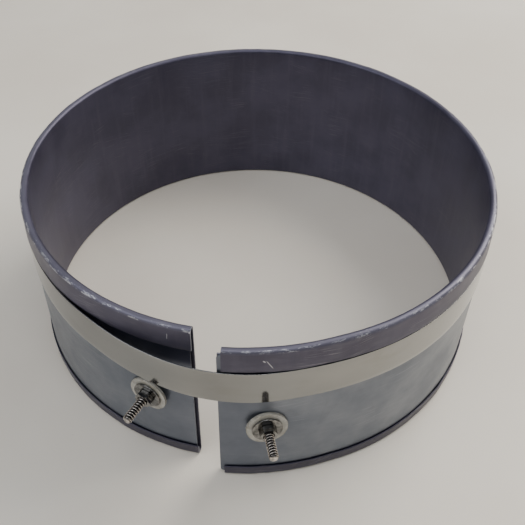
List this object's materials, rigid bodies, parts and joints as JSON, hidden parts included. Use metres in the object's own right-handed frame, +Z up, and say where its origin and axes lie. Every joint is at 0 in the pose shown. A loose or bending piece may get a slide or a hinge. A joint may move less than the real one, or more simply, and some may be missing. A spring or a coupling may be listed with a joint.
{
  "type": "pipe band heater",
  "caption": "Split sheet-metal heating band for a pipe or machine barrel, with hemmed edges, stud terminals beside the gap and a separate clamp strap closed by a screw lock.",
  "frame": {"origin": "on the axis of the barrel that the band grips, in the plane of the band's lower rim, which it stands on", "axes": "+Z up along the barrel's axis; -Y towards the gap and the terminals; +Y towards the strap's lock"},
  "size_m": [0.2585, 0.2927, 0.1],
  "materials": {
    "sheath_steel": "dark blue-grey oxidised steel sheet, matt, with bright rubs along the folds",
    "zinc_cover": "bluish zinc-coated sheet, satin, lightly stained",
    "stainless_strap": "bright rolled stainless strip",
    "plated_steel": "plated turned steel, bright on the thread crests",
    "mica_washer": "pressed mica, pale and slightly glossy",
    "mica_sheet": "mica sheet",
    "resistance_alloy": "rolled resistance ribbon"
  },
  "bodies": {
    "band": {"inner_sheath": "sheath_steel", "inner_mica": "mica_sheet", "element_card": "mica_sheet", "resistance_ribbon": "resistance_alloy", "outer_mica": "mica_sheet", "cover_plate": "zinc_cover", "left_terminal_tab": "resistance_alloy", "right_terminal_tab": "resistance_alloy", "left_terminal_stud": "plated_steel", "right_terminal_stud": "plated_steel", "left_insulating_bush": "mica_sheet", "right_insulating_bush": "mica_sheet"},
    "right_mica": {"right_mica_washer": "mica_washer"},
    "right_washer": {"right_steel_washer": "plated_steel"},
    "right_nut": {"right_hex_nut": "plated_steel"},
    "left_mica": {"left_mica_washer": "mica_washer"},
    "left_washer": {"left_steel_washer": "plated_steel"},
    "left_nut": {"left_hex_nut": "plated_steel"},
    "strap": {"clamp_strap": "stainless_strap", "plain_barrel": "plated_steel", "tapped_barrel": "plated_steel", "rivet_lower_right": "stainless_strap", "rivet_lower_left": "stainless_strap", "rivet_upper_right": "stainless_strap", "rivet_upper_left": "stainless_strap"},
    "screw_seat": {"screw_washer": "plated_steel"},
    "screw": {"clamp_screw": "plated_steel"}
  },
  "joints": [
    {"name": "right_mica_slide", "type": "slide", "parent": "band", "child": "right_mica", "axis": [0.1884, -0.9782, 0.0872], "range_m": [0, 0.0055]},
    {"name": "right_nut_travel", "type": "slide", "parent": "band", "child": "right_washer", "axis": [0.1884, -0.9782, 0.0872], "range_m": [0, 0.012]},
    {"name": "right_nut_turn", "type": "hinge", "parent": "right_washer", "child": "right_nut", "pos_m": [0.00728, -0.13356, 0.04463], "axis": [0.1884, -0.9782, 0.0872], "range_deg": [0, 2880]},
    {"name": "left_mica_slide", "type": "slide", "parent": "band", "child": "left_mica", "axis": [-0.4601, -0.8877, 0.0175], "range_m": [0, 0.0055]},
    {"name": "left_nut_travel", "type": "slide", "parent": "band", "child": "left_washer", "axis": [-0.4601, -0.8877, 0.0175], "range_m": [0, 0.012]},
    {"name": "left_nut_turn", "type": "hinge", "parent": "left_washer", "child": "left_nut", "pos_m": [-0.05266, -0.1156, 0.04526], "axis": [-0.4601, -0.8877, 0.0175], "range_deg": [0, 2880]},
    {"name": "strap_turn", "type": "hinge", "parent": "band", "child": "strap", "pos_m": [0, 0, 0.0753], "axis": [0, 0, 1], "range_deg": [-2, 8]},
    {"name": "clamp_screw_travel", "type": "slide", "parent": "strap", "child": "screw_seat", "axis": [0.9825, -0.1865, 0], "range_m": [0, 0.015]},
    {"name": "clamp_screw_turn", "type": "hinge", "parent": "screw_seat", "child": "screw", "pos_m": [0.04759, 0.12842, 0.0753], "axis": [0.9825, -0.1865, 0], "range_deg": [0, 5400]}
  ],
  "couplings": [
    {"joint": "right_nut_turn", "follows": "right_nut_travel", "rad_per_m": 4188.8},
    {"joint": "right_mica_slide", "follows": "right_nut_travel", "ratio": 0.45},
    {"joint": "left_nut_turn", "follows": "left_nut_travel", "rad_per_m": 4188.8},
    {"joint": "left_mica_slide", "follows": "left_nut_travel", "ratio": 0.45},
    {"joint": "clamp_screw_turn", "follows": "clamp_screw_travel", "rad_per_m": 6283.2}
  ]
}
